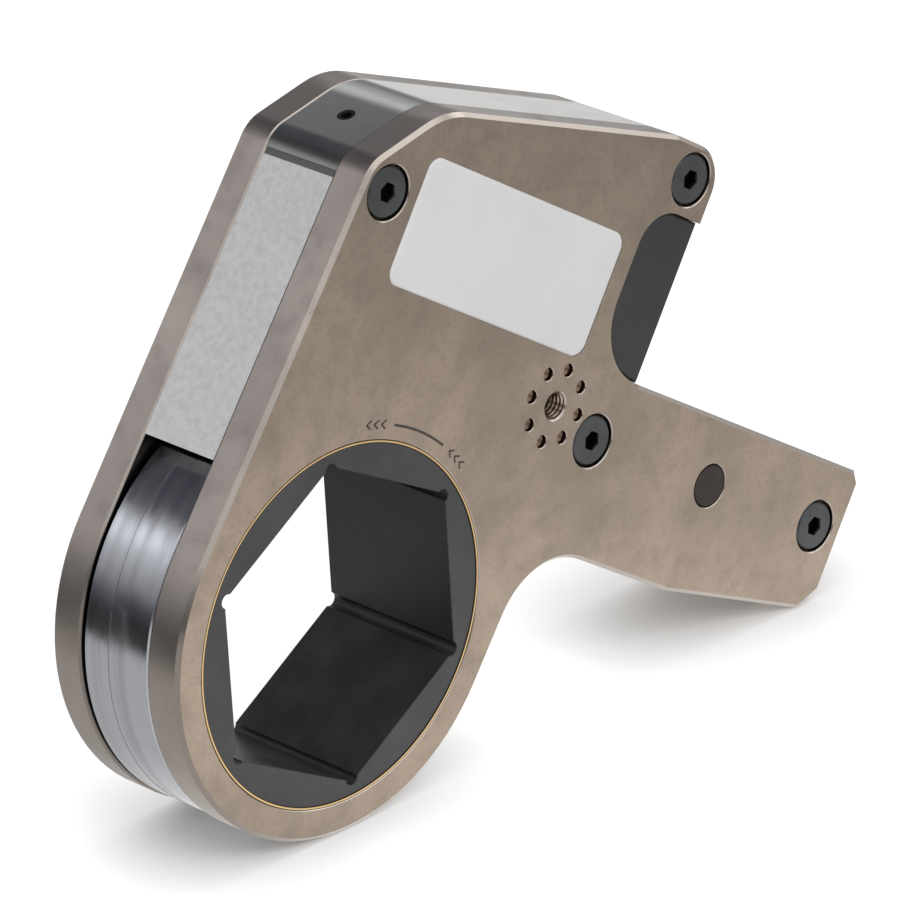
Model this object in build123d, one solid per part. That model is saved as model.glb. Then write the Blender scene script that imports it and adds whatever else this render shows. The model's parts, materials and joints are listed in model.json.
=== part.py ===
"""Hexagon ratchet cassette with reaction arm, for a low-profile hydraulic torque wrench.

Two steel side plates stand 28 mm apart. Between them a lever swings about the hexagon's axis, and a toothed shoe in
the lever turns the ratchet wheel. The cylinder of the wrench plugs into the seat on the right, between the hook and
the reaction arm, and its rod works on the pin in the lever's head.

Every piece is drawn in the tool's own axes: x along the reaction arm, y across it, z out of the front plate, with
the centre of the hexagon at the origin. At the end the tool is turned to stand on its nose and on the arm's corner.
Millimetres and degrees.
"""
from build123d import *
from math import atan2, cos, degrees, hypot, pi, radians, sin, sqrt, tan
import os

# Ratchet wheel and its bearings
across_flats = 89.0
hexagon_turn = 34.35           # turn of a flat's normal from the arm direction
relief_radius = 2.2            # groove that clears each corner of the hexagon
relief_stand_out = 1.0         # how far the groove reaches past the corner
hub_wall = 2.8                 # least wall between a corner groove and the hub's outside
wheel_recess = 0.4             # wheel face below the plate face
wheel_lead_in = 0.2
running_clearance = 0.06       # radial, hub in bush
bush_wall = 0.95
bush_recess = 0.2
bush_flange_height = 2.2
bush_flange_thickness = 0.75
side_clearance = 0.3           # wheel shoulder to bush flange, and lever to washers
tooth_count = 60
tooth_root_height = 1.6        # root circle above the hub
tooth_depth = 1.8
tooth_crest_share = 0.14       # of the pitch
tooth_root_share = 0.10
drive_flank_lean = 22.0        # lean of the driving flank out of the radius
mesh_clearance = 0.08
crest_clearance = 0.35         # lever ring over the tooth crests

# Cassette body
cassette_width = 52.9
plate_thickness = 12.0
edge_chamfer = 1.25            # front and rear outer edges
inner_chamfer = 0.8            # rear plate's edge beside the gap
nose_margin = 0.6              # plates stand out past the lever's ring
stand_angle = 32.81            # arm slopes down by this when the tool stands

# Outline of the side plates: distance of each straight edge from the hexagon's axis
left_edge_lean = 3.4
facet_distance = 131.45
facet_normal = 135.0
top_distance = 153.8
top_normal = 101.5
hook_top = 170.15
hook_right = 89.05
arm_top = 96.8
arm_end = 206.2
arm_bottom = 41.45
arm_bend = 135.1               # where the arm's lower edge starts to rise
arm_taper = 7.7
neck_lean = 3.1
neck_radius = 24.5
corner_left_radius = 11.4
corner_ridge_radius = 28.0
corner_hook_radius = 10.0
hook_radius = 12.0
arm_tip_cut = 3.2
arm_heel_cut = 6.8

# Cut-out for the cylinder
cut_wall = 64.3
cut_top = 148.35
cut_upper_radius = 12.3
cut_lower_radius = 21.3

# Screws, dowels and handle holes
shoulder_screw = (-48.0, 121.3)
hook_screw_inset = 12.35        # hook and lower screw, in from the hook's right edge
hook_screw_drop = 10.75         # below the top of the hook
arm_screw_drop = 20.7           # below the top of the arm
arm_screw_inset = 13.2          # in from the arm's end
head_radius = 7.7
head_height = 5.5
head_recess = 0.35
head_edge = 0.5
counterbore_gap = 0.75
rim_edge = 0.3                 # broken edge of each round hole in the outside faces
shank_radius = 4.9
shank_hole_gap = 0.4
screw_engagement = 11.5
socket_flats = 5.6
socket_depth = 3.2
arm_dowel_inset = 69.5
dowel_radius = 6.9
dowel_recess = 0.15
handle_place = (54.7, 81.8)
handle_thread_radius = 4.25
handle_thread_depth = 10.5
handle_lead_in = 0.5
index_circle = 22.6
index_radius = 2.0
index_depth = 1.8               # to the start of the drill point
index_point_angle = 118.0
index_count = 8
index_edge = 0.2

# Name plate recess in the front plate
label_centre = (11.0, 116.95)
label_length = 93.4
label_height = 39.5
label_radius = 4.8
label_depth = 0.3

# Drive lever, its pin and the shoe
lever_rest = -15.0             # lever's direction from the tool's y axis, rod drawn back
lever_side_gap = 0.7           # lever face to plate
ring_wall = 6.4
ring_edge = 0.9
ring_groove_width = 6.2
ring_groove_depth = 0.12
lever_arm = 125.7              # hexagon axis to the lever pin
head_end_radius = 14.0
lever_root_width = 62.0
lever_root_height = 46.0
clevis_width = 15.0
clevis_reach = 10.0            # slot past the pin, away from the cylinder
clevis_height = 36.0
pin_radius = 7.0
pin_fit = 0.03
pin_end_gap = 0.5
clip_thickness = 0.9
clip_height = 1.4
shoe_width = 28.6
shoe_fit = 0.12
shoe_height = 17.0             # from the root circle to the shoe's back
shoe_travel = 2.0
shoe_stop_gap = 0.3
shoe_side_gap = 0.4
spring_spacing = 15.0
spring_radius = 3.1
spring_wire = 0.9              # square wire
spring_coils = 5
spring_hole_gap = 0.4
spring_hole_depth = 14.0
guide_radius = 1.7
guide_length = 9.0             # that stands out of the shoe
guide_seat = 4.0               # pressed into it

# Thrust washers beside the lever's ring
washer_thickness = 0.45
washer_inner_gap = 0.3
washer_outer_gap = 3.2

# Bridge, shroud and seal between the plates
bridge_thickness = 10.5
bridge_left_bottom = 122.1     # its outside starts here on the left edge
bridge_lug_bottom = 109.5
bridge_boss_radius = 9.0
bridge_end_wall = 57.8
bridge_step_radius = 4.0
bridge_boss_fillet = 6.0
bridge_lug_fillet = 5.0
hook_seat_gap = 0.2
shroud_bottom = 32.5
shroud_top = 119.9
shroud_thickness = 5.4
shroud_side_gap = 0.15
shroud_rib_width = 2.4
shroud_rib_depth = 1.6
shroud_rib_fit = 0.1
seal_recess = 0.35
set_screw_radius = 2.75
set_screw_length = 7.0
set_screw_recess = 0.15
set_screw_flats = 3.0
set_screw_socket = 3.0
locating_dowel_radius = 2.5
locating_dowel_length = 14.0
locating_dowel_insets = (27.854, 22.372)   # along the bridge's top, from its left and right corners

# Seat for the cylinder
seat_recess = 1.0              # seat face below the plate face
seat_fit = 0.15
seat_right_inset = 1.25
seat_left = 47.0                # the lever at rest leans on this face
seat_edge = 0.8
seat_lug_drop = 6.5
seat_lug_right = 84.6
rod_height = 122.6
rod_bore_radius = 13.0
rod_bush_wall = 2.5
rod_bush_length = 20.0
rod_bush_recess = 1.5          # below the seat's right face
rod_mouth = 1.0

# Spacer in the reaction arm
spacer_left = 66.5
spacer_inset = 0.6
spacer_edge = 0.5

# Sizes and places worked out from those above
hook_screw_column = hook_right - hook_screw_inset
arm_screw_row = arm_top - arm_screw_drop
screw_places = [shoulder_screw, (hook_screw_column, hook_top - hook_screw_drop), (hook_screw_column, arm_screw_row),
                (arm_end - arm_screw_inset, arm_screw_row)]
dowel_place = (arm_end - arm_dowel_inset, arm_screw_row)
hexagon_corner = across_flats / sqrt(3)
hub_radius = hexagon_corner + relief_stand_out + hub_wall
bush_bore = hub_radius + running_clearance
plate_bore = bush_bore + bush_wall
root_radius = hub_radius + tooth_root_height
crest_radius = root_radius + tooth_depth
ring_bore = crest_radius + crest_clearance
ring_radius = ring_bore + ring_wall
nose_radius = ring_radius + nose_margin
half_width = cassette_width / 2
half_gap = half_width - plate_thickness
half_lever = half_gap - lever_side_gap
half_wheel = half_gap - bush_flange_thickness - side_clearance
shoe_back = root_radius + shoe_height
pocket_end = shoe_back + shoe_travel + shoe_stop_gap


def line(normal, distance):
    """Straight edge whose outward normal points at an angle, at a distance from the origin."""
    return cos(radians(normal)), sin(radians(normal)), distance


def line_through(point, normal):
    """Straight edge through a point, with its outward normal at an angle."""
    a, b = cos(radians(normal)), sin(radians(normal))
    return a, b, a * point[0] + b * point[1]


def meet(first, second):
    """Point where two straight edges cross."""
    a, b, c = first
    d, e, f = second
    det = a * e - b * d
    return (c * e - b * f) / det, (a * f - c * d) / det


def inset(edge, gap):
    """The same edge, moved towards the inside."""
    return edge[0], edge[1], edge[2] - gap


def polar(radius, angle):
    return radius * cos(radians(angle)), radius * sin(radians(angle))


def prism(points, low, high, radii=0.0):
    """Solid between two heights over a closed outline, with one corner radius for each point."""
    outline = FilletPolyline(*points, radius=radii, close=True) if radii else Polyline(*points, close=True)
    return Pos(0, 0, low) * extrude(make_face(outline), high - low)


def disc(radius, low, high, place=(0, 0)):
    return Pos(place[0], place[1], low) * extrude(Circle(radius), high - low)


def ring(outer, inner, low, high, place=(0, 0)):
    return disc(outer, low, high, place) - disc(inner, low, high, place)


def along_x(shape):
    """Turns a piece drawn along z so that it points along x."""
    return Rot(0, 90, 0) * shape


# Straight edges of the side plates
left_edge = line(180 - left_edge_lean, nose_radius)
facet_edge = line(facet_normal, facet_distance)
top_edge = line(top_normal, top_distance)
hook_top_edge = line(90, hook_top)
hook_right_edge = line(0, hook_right)
arm_top_edge = line(90, arm_top)
arm_end_edge = line(0, arm_end)
arm_bottom_edge = line(-90, -arm_bottom)
arm_taper_edge = line_through((arm_bend, arm_bottom), arm_taper - 90)
neck_edge = line(-neck_lean, nose_radius)


def plate_face():
    """Outline of a side plate, without the cut-out for the cylinder."""
    tip = meet(arm_top_edge, arm_end_edge)
    heel = meet(arm_end_edge, arm_taper_edge)
    heel_back = (heel[0] - arm_heel_cut * cos(radians(arm_taper)), heel[1] - arm_heel_cut * sin(radians(arm_taper)))
    corners = [
        (polar(nose_radius, 180 - left_edge_lean), 0),
        (meet(left_edge, facet_edge), corner_left_radius),
        (meet(facet_edge, top_edge), corner_ridge_radius),
        (meet(top_edge, hook_top_edge), corner_hook_radius),
        (meet(hook_top_edge, hook_right_edge), hook_radius),
        (meet(hook_right_edge, arm_top_edge), 0),
        ((tip[0] - arm_tip_cut, tip[1]), 0),
        ((tip[0], tip[1] - arm_tip_cut), 0),
        ((heel[0], heel[1] + arm_heel_cut), 0),
        (heel_back, 0),
        ((arm_bend, arm_bottom), 0),
        (meet(arm_bottom_edge, neck_edge), neck_radius),
        (polar(nose_radius, -neck_lean), 0),
    ]
    points = [point for point, _ in corners]
    radii = [radius for _, radius in corners[1:-1]]
    edges = FilletPolyline(*points, radius=radii)
    nose = ThreePointArc(points[-1], polar(nose_radius, -90), points[0])
    return make_face(edges + nose)


def cut_out(gap=0.0, right=None):
    """Outline of the cut-out for the cylinder, or of a block that lies in it with a gap all round."""
    reach = hook_right + plate_thickness if right is None else right
    points = [(reach, cut_top - gap), (cut_wall + gap, cut_top - gap), (cut_wall + gap, arm_top + gap),
              (reach, arm_top + gap)]
    return make_face(FilletPolyline(*points, radius=[0, cut_upper_radius - gap, cut_lower_radius - gap, 0], close=True))


def face_edges(body, top=True):
    """Outer edges of the highest or lowest flat face."""
    faces = body.faces().filter_by(Axis.Z).sort_by(Axis.Z)
    return faces[-1 if top else 0].outer_wire().edges()


def side_plate(has_label, gap_chamfer):
    """A side plate as it lies on the front: z from the gap to the outside face."""
    plate = Pos(0, 0, half_gap) * extrude(plate_face(), plate_thickness)
    plate = chamfer(face_edges(plate), edge_chamfer)
    if gap_chamfer:
        plate = chamfer(face_edges(plate, top=False), gap_chamfer)
    plate -= Pos(0, 0, half_gap) * extrude(cut_out(), plate_thickness)
    plate -= rimmed_hole(plate_bore, half_gap, (0, 0))
    for place in screw_places:
        plate -= rimmed_hole(head_radius + counterbore_gap, half_width - head_recess - head_height, place)
        plate -= disc(shank_radius + shank_hole_gap, half_gap, half_width, place)
    plate -= rimmed_hole(dowel_radius, half_gap, dowel_place)
    plate -= handle_holes()
    plate -= shroud_rib(shroud_rib_fit)
    for place in dowel_spots():
        plate -= disc(locating_dowel_radius, half_gap, half_gap + locating_dowel_length / 2, place)
    if has_label:
        label = Pos(*label_centre, half_width - label_depth) * RectangleRounded(label_length, label_height, label_radius)
        plate -= extrude(label, label_depth)
    return plate


def rimmed_hole(radius, low, place, rim=rim_edge):
    """Round hole from the outside face down to a height, with a broken edge."""
    mouth = Pos(place[0], place[1], half_width - rim / 2) * Cone(radius, radius + rim, rim)
    return disc(radius, low, half_width, place) + mouth


def handle_holes():
    """Threaded hole for the positioning handle, with its ring of index holes."""
    holes = rimmed_hole(handle_thread_radius, half_width - handle_thread_depth, handle_place, handle_lead_in)
    for k in range(index_count):
        x, y = polar(index_circle / 2, 360 * k / index_count)
        spot = (handle_place[0] + x, handle_place[1] + y)
        holes += rimmed_hole(index_radius, half_width - index_depth, spot, index_edge)
        point = index_radius / tan(radians(index_point_angle / 2))
        holes += Pos(*spot, half_width - index_depth - point / 2) * Cone(0, index_radius, point)
    return holes


def tooth_outline(grow=0.0):
    """Saw-tooth ring: a steep driving flank that faces clockwise, a flat crest and a long back."""
    pitch = 2 * pi / tooth_count
    middle = root_radius + tooth_depth / 2
    steep = tooth_depth * tan(radians(drive_flank_lean)) / middle
    shift = grow / middle
    points = []
    for k in range(tooth_count):
        start = k * pitch
        crest_start = start + steep
        crest_end = crest_start + tooth_crest_share * pitch
        back_end = start + pitch * (1 - tooth_root_share)
        for radius, angle in ((root_radius, start - shift), (crest_radius, crest_start - shift),
                              (crest_radius, crest_end + shift), (root_radius, back_end + shift)):
            points.append(polar(radius + grow, degrees(angle)))
    return points


def ratchet_wheel():
    """Wheel with two hubs, the toothed rim between the plates and the hexagon bore."""
    face_height = half_width - wheel_recess
    wheel = disc(hub_radius, -face_height, face_height)
    wheel += prism(tooth_outline(), -half_wheel, half_wheel)
    bore = Rot(0, 0, hexagon_turn) * RegularPolygon(across_flats / 2, 6, major_radius=False, rotation=30)
    for k in range(6):
        spot = polar(hexagon_corner + relief_stand_out - relief_radius, hexagon_turn + 30 + 60 * k)
        bore += Pos(*spot) * Circle(relief_radius)
    wheel -= Pos(0, 0, -half_width) * extrude(bore, cassette_width)
    ends = wheel.faces().filter_by(Axis.Z).sort_by(Axis.Z)
    rims = ends[0].inner_wires().edges() + ends[-1].inner_wires().edges()
    return chamfer(rims, wheel_lead_in)


def bush():
    """Flanged bush of the front plate: the wheel's hub runs in it."""
    body = ring(plate_bore, bush_bore, half_gap, half_width - bush_recess)
    flange = ring(bush_bore + bush_flange_height, bush_bore, half_gap - bush_flange_thickness, half_gap)
    return body + flange


def thrust_washer():
    """Washer that fills the gap between the lever's ring and the front plate."""
    top = half_gap - (lever_side_gap - washer_thickness) / 2
    outer = ring_radius - washer_outer_gap
    inner = bush_bore + bush_flange_height + washer_inner_gap
    return ring(outer, max(inner, ring_bore), top - washer_thickness, top)


def lever_body():
    """Ring round the wheel, tapering arm and round head, pointing along y."""
    half_root = lever_root_width / 2
    arm = prism([(-half_root, lever_root_height), (half_root, lever_root_height), (head_end_radius, lever_arm),
                 (-head_end_radius, lever_arm)], -half_lever, half_lever)
    rim = disc(ring_radius, -half_lever, half_lever)
    rim = chamfer(rim.edges(), ring_edge)
    groove = ring(ring_radius + 1, ring_radius - ring_groove_depth, -ring_groove_width / 2, ring_groove_width / 2)
    body = (rim - groove) + arm + disc(head_end_radius, -half_lever, half_lever, (0, lever_arm))
    return body - disc(ring_bore, -half_lever, half_lever)


def spring_spots():
    """Places of the shoe springs: across the lever, and over its thickness."""
    return [(-spring_spacing / 2, 0), (spring_spacing / 2, 0)]


def standing(radius, low, high, spot):
    """Round bar along the lever's own y axis."""
    return Pos(spot[0], (low + high) / 2, spot[1]) * Rot(90, 0, 0) * Cylinder(radius, high - low)


def drive_lever():
    """Lever with the pocket for the shoe, the clevis for the rod's end and the pin hole."""
    lever = lever_body()
    half_shoe = shoe_width / 2 + shoe_fit
    lever -= prism([(-half_shoe, 0), (half_shoe, 0), (half_shoe, pocket_end), (-half_shoe, pocket_end)],
                   -half_lever, half_lever)
    for spot in spring_spots():
        lever -= standing(spring_radius + spring_hole_gap, pocket_end, pocket_end + spring_hole_depth, spot)
    half_slot = clevis_height / 2
    slot = prism([(-clevis_reach, lever_arm - half_slot), (lever_root_width, lever_arm - half_slot),
                  (lever_root_width, lever_arm + half_slot), (-clevis_reach, lever_arm + half_slot)],
                 -clevis_width / 2, clevis_width / 2)
    lever -= slot
    lever -= disc(pin_radius + pin_fit, -half_lever, half_lever, (0, lever_arm))
    return lever


def drive_shoe():
    """Toothed block that slides in the lever's pocket and fills the wheel's teeth."""
    half_shoe = shoe_width / 2
    half_depth = half_lever - shoe_side_gap
    block = prism([(-half_shoe, 0), (half_shoe, 0), (half_shoe, shoe_back), (-half_shoe, shoe_back)],
                  -half_depth, half_depth)
    teeth = Rot(0, 0, -lever_rest) * prism(tooth_outline(mesh_clearance), -half_depth, half_depth)
    for spot in spring_spots():
        block -= standing(guide_radius, shoe_back - guide_seat, shoe_back, spot)
    return block - teeth


def lever_pin():
    end = half_lever - pin_end_gap
    pin = disc(pin_radius, -end, end, (0, lever_arm))
    return chamfer(pin.edges(), pin_end_gap)


def pin_clips():
    """Retaining rings on the pin, one at each side of the rod's slot."""
    inside = clevis_width / 2
    clip = ring(pin_radius + clip_height, pin_radius, inside - clip_thickness, inside, (0, lever_arm))
    gap = prism([(0, lever_arm - pin_radius / 2), (2 * pin_radius, lever_arm - pin_radius / 2),
                 (2 * pin_radius, lever_arm + pin_radius / 2), (0, lever_arm + pin_radius / 2)], 0, inside)
    clip -= gap
    return [clip, mirror(clip, about=Plane.XY)]


def coil_spring(length):
    """Spring of square wire along z from the origin, as a die spring is."""
    radius = spring_radius - spring_wire / 2
    height = length - 2 * spring_wire
    path = Helix(height / spring_coils, height, radius)
    start = Plane(origin=path @ 0, x_dir=(1, 0, 0), z_dir=path % 0)
    return Pos(0, 0, spring_wire) * sweep(start * Rectangle(spring_wire, spring_wire), path=path, is_frenet=True)


def shoe_springs():
    """Springs in the lever, drawn at the length they have when the shoe is pushed right back."""
    length = spring_hole_depth + shoe_stop_gap / 2
    springs = []
    for spot in spring_spots():
        place = Pos(spot[0], pocket_end + spring_hole_depth, spot[1]) * Rot(90, 0, 0)
        springs.append(place * coil_spring(length))
    return springs


def spring_guides():
    """Pins on the back of the shoe that keep the springs straight."""
    return [standing(guide_radius, shoe_back - guide_seat, shoe_back + guide_length, spot)
            for spot in spring_spots()]


def bridge_outline():
    """Outer edge follows the plates, inner edge runs parallel to the top."""
    left_bottom = (meet(left_edge, line(90, bridge_left_bottom)), 0)
    inner = inset(top_edge, bridge_thickness)
    seat_top = line(90, cut_top + hook_seat_gap)
    step = line(0, bridge_end_wall)
    lug_left = inset(left_edge, shroud_thickness)
    lug_right = line(0, shoulder_screw[0] + bridge_boss_radius)
    return [
        left_bottom,
        (meet(left_edge, facet_edge), corner_left_radius),
        (meet(facet_edge, top_edge), corner_ridge_radius),
        (meet(top_edge, hook_top_edge), corner_hook_radius),
        (meet(hook_top_edge, inset(hook_right_edge, spacer_inset)), hook_radius - spacer_inset),
        (meet(inset(hook_right_edge, spacer_inset), seat_top), 0),
        (meet(step, seat_top), 0),
        (meet(step, inner), bridge_step_radius),
        (meet(inner, lug_right), bridge_boss_fillet),
        (meet(lug_right, line(90, bridge_lug_bottom)), bridge_lug_fillet),
        (meet(lug_left, line(90, bridge_lug_bottom)), 0),
        (meet(lug_left, line(90, bridge_left_bottom)), 0),
    ]


def facet_frame():
    """Plane on the sloped facet, at its middle, with z out of the metal."""
    low = meet(left_edge, facet_edge)
    high = meet(facet_edge, top_edge)
    middle = ((low[0] + high[0]) / 2, (low[1] + high[1]) / 2, 0)
    out = (cos(radians(facet_normal)), sin(radians(facet_normal)), 0)
    return Plane(origin=middle, x_dir=(0, 0, 1), z_dir=out)


def dowel_spots():
    """Places of the locating dowels, half-way through the bridge's top wall, in from its two corners."""
    down = polar(-bridge_thickness / 2, top_normal)
    spots = []
    for corner, inset_along in zip((facet_edge, hook_top_edge), (locating_dowel_insets[0], -locating_dowel_insets[1])):
        x, y = meet(top_edge, corner)
        right = polar(inset_along, top_normal - 90)
        spots.append((x + right[0] + down[0], y + right[1] + down[1]))
    return spots


def tapped(body, places):
    """Tapped holes for the plate screws, from both sides."""
    for place in places:
        body -= disc(shank_radius, -half_gap, half_gap, place)
    return body


def top_bridge():
    corners = bridge_outline()
    bridge = prism([p for p, _ in corners], -half_gap, half_gap, [r for _, r in corners])
    bridge = tapped(bridge, screw_places[:2])
    depth = set_screw_length + set_screw_recess
    hole = Pos(0, 0, -depth / 2) * Cylinder(set_screw_radius, depth)
    bridge -= facet_frame() * hole
    for place in dowel_spots():
        bridge -= disc(locating_dowel_radius, -half_gap, half_gap, place)
    return bridge


def bridge_set_screw():
    body = Pos(0, 0, -set_screw_recess - set_screw_length / 2) * Cylinder(set_screw_radius, set_screw_length)
    socket = extrude(RegularPolygon(set_screw_flats / 2, 6, major_radius=False), set_screw_socket)
    body -= Pos(0, 0, -set_screw_recess - set_screw_socket) * socket
    return facet_frame() * body


def locating_dowels():
    """Two dowels on each side, half in the plate and half in the bridge."""
    half = locating_dowel_length / 2
    pins = []
    for place in dowel_spots():
        pins.append(disc(locating_dowel_radius, half_gap - half, half_gap + half, place))
        pins.append(disc(locating_dowel_radius, -half_gap - half, -half_gap + half, place))
    return pins


def shroud_line_points(grow=0.0):
    """Corners of the shroud in side view."""
    inner = inset(left_edge, shroud_thickness + grow)
    outer = inset(left_edge, -grow)
    low, high = line(90, shroud_bottom - grow), line(90, shroud_top + grow)
    return [meet(outer, high), meet(outer, low), meet(inner, low), meet(inner, high)]


def shroud_rib(fit=0.0):
    """Rib on the front side of the shroud, or the groove for it in the plate."""
    middle = shroud_thickness / 2
    inner = inset(left_edge, middle + shroud_rib_width / 2 + fit)
    outer = inset(left_edge, middle - shroud_rib_width / 2 - fit)
    low = line(90, shroud_bottom + shroud_thickness - fit)
    high = line(90, shroud_top - shroud_thickness + fit)
    points = [meet(outer, high), meet(outer, low), meet(inner, low), meet(inner, high)]
    return prism(points, half_gap - shroud_side_gap, half_gap + shroud_rib_depth + fit)


def front_shroud():
    half = half_gap - shroud_side_gap
    shroud = prism(shroud_line_points(), -half, half)
    rib = shroud_rib()
    return shroud + rib + mirror(rib, about=Plane.XY)


def shroud_seal():
    """Strip in the joint between shroud and bridge."""
    inner = inset(left_edge, shroud_thickness)
    outer = inset(left_edge, seal_recess)
    low, high = line(90, shroud_top), line(90, bridge_left_bottom)
    points = [meet(outer, high), meet(outer, low), meet(inner, low), meet(inner, high)]
    return prism(points, -half_gap, half_gap)


def drive_seat():
    """Block keyed in the cut-outs of both plates, with the bore for the cylinder's rod."""
    right = hook_right - seat_right_inset
    flank = half_width - seat_recess
    seat = Pos(0, 0, -flank) * extrude(cut_out(seat_fit, right), 2 * flank)
    top, low = cut_top - seat_fit, arm_top + seat_fit
    seat = chamfer(face_edges(seat), seat_edge)
    seat = chamfer(face_edges(seat, top=False), seat_edge)
    middle = half_gap - shroud_side_gap
    inner = [(seat_left, top), (seat_left, low - seat_lug_drop), (seat_lug_right, low - seat_lug_drop),
             (seat_lug_right, low), (right, low), (right, top)]
    seat += prism(inner, -middle, middle)
    bush_radius = rod_bore_radius + rod_bush_wall
    bore = rod_bar(rod_bore_radius, seat_left, right)
    bore += rod_bar(bush_radius, right - rod_bush_recess - rod_bush_length, right)
    bore += Pos(right - rod_mouth / 2, rod_height, 0) * along_x(Cone(bush_radius, bush_radius + rod_mouth, rod_mouth))
    return seat - bore


def rod_bar(radius, low, high):
    """Round bar on the axis of the cylinder's rod."""
    return Pos((low + high) / 2, rod_height, 0) * along_x(Cylinder(radius, high - low))


def rod_guide_bush():
    """Bush in the seat's bore, in which the cylinder's rod slides."""
    high = hook_right - seat_right_inset - rod_bush_recess
    low = high - rod_bush_length
    return rod_bar(rod_bore_radius + rod_bush_wall, low, high) - rod_bar(rod_bore_radius, low, high)


def arm_spacer():
    """Steel block between the plates in the reaction arm, set in from their edges."""
    gap = spacer_inset
    tip = meet(inset(arm_top_edge, gap), inset(arm_end_edge, gap))
    heel = meet(inset(arm_end_edge, gap), inset(arm_taper_edge, gap))
    bend = meet(inset(arm_bottom_edge, gap), inset(arm_taper_edge, gap))
    notch = arm_top + seat_fit - seat_lug_drop - hook_seat_gap
    notch_right = seat_lug_right + hook_seat_gap
    points = [
        (spacer_left, notch), (notch_right, notch), (notch_right, tip[1]),
        (tip[0] - arm_tip_cut, tip[1]), (tip[0], tip[1] - arm_tip_cut),
        (heel[0], heel[1] + arm_heel_cut),
        (heel[0] - arm_heel_cut * cos(radians(arm_taper)), heel[1] - arm_heel_cut * sin(radians(arm_taper))),
        bend, (spacer_left + neck_radius, bend[1]), (spacer_left, bend[1] + neck_radius / 4),
    ]
    spacer = prism(points, -half_gap, half_gap)
    spacer = tapped(spacer, screw_places[2:])
    return spacer - disc(dowel_radius, -half_gap, half_gap, dowel_place)


def plate_screw(place):
    """Low-head socket screw, from the front."""
    top = half_width - head_recess
    head = chamfer(face_edges(disc(head_radius, top - head_height, top)), head_edge)
    socket = extrude(RegularPolygon(socket_flats / 2, 6, major_radius=False), socket_depth)
    screw = head + disc(shank_radius, half_gap - screw_engagement, top - head_height)
    return Pos(*place, 0) * (screw - Pos(0, 0, top - socket_depth) * socket)


def front_plate_screws():
    return [plate_screw(place) for place in screw_places]


def arm_dowel():
    end = half_width - dowel_recess
    return disc(dowel_radius, -end, end, dowel_place)


def mirrored(pieces):
    """The same pieces on the rear side."""
    return [mirror(piece, about=Plane.XY) for piece in pieces]


def at_rest(pieces):
    """Turns pieces drawn along y into the lever's rest direction."""
    return [Rot(0, 0, lever_rest) * piece for piece in pieces]


# The tool's axes in the space it stands in: the arm slopes down to the right, the front plate faces -Y
arm_direction = (cos(radians(stand_angle)), 0, -sin(radians(stand_angle)))
tool_plane = Plane(origin=(0, 0, 0), x_dir=arm_direction, z_dir=(0, -1, 0))

nodes = {
    "front_side_plate": [side_plate(True, 0.0)],
    "rear_side_plate": mirrored([side_plate(False, inner_chamfer)]),
    "ratchet_wheel": [ratchet_wheel()],
    "front_bush": [bush()],
    "rear_bush": mirrored([bush()]),
    "front_thrust_washer": [thrust_washer()],
    "rear_thrust_washer": mirrored([thrust_washer()]),
    "drive_lever": at_rest([drive_lever()]),
    "drive_shoe": at_rest([drive_shoe()]),
    "shoe_springs": at_rest(shoe_springs()),
    "spring_guides": at_rest(spring_guides()),
    "lever_pin": at_rest([lever_pin()]),
    "pin_clips": at_rest(pin_clips()),
    "top_bridge": [top_bridge()],
    "bridge_set_screw": [bridge_set_screw()],
    "locating_dowels": locating_dowels(),
    "front_shroud": [front_shroud()],
    "shroud_seal": [shroud_seal()],
    "drive_seat": [drive_seat()],
    "rod_guide_bush": [rod_guide_bush()],
    "arm_spacer": [arm_spacer()],
    "arm_dowel": [arm_dowel()],
    "front_plate_screws": front_plate_screws(),
    "rear_plate_screws": mirrored(front_plate_screws()),
}

os.makedirs("parts", exist_ok=True)
for name, pieces in nodes.items():
    solids = [solid for piece in pieces for solid in piece.solids()]
    placed = Compound(children=[tool_plane.location * solid for solid in solids])
    placed.label = name
    export_step(placed, f"parts/{name}.step")
    print(name, len(solids), "solids", round(sum(solid.volume for solid in solids) / 1000, 2), "cm3")
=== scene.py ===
# %% [markdown]
# # The hexagon cassette of a low-profile hydraulic torque wrench
#
# Two plated steel side plates hold a black ratchet wheel with a hexagon bore. Between them lie a bright
# steel lever ring, a brushed aluminium shroud, a grey steel bridge and, in the cut-out on the right, a
# black seat for the hydraulic cylinder. The solids come from the CAD model and are never moved. This
# script gives each of them its finish and adds what is too thin for the solids: the name plate, the
# direction marks and the screw threads.

# %% Load the frame
import json
import math

import bpy
import numpy as np
from mathutils import Matrix, Vector

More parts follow.
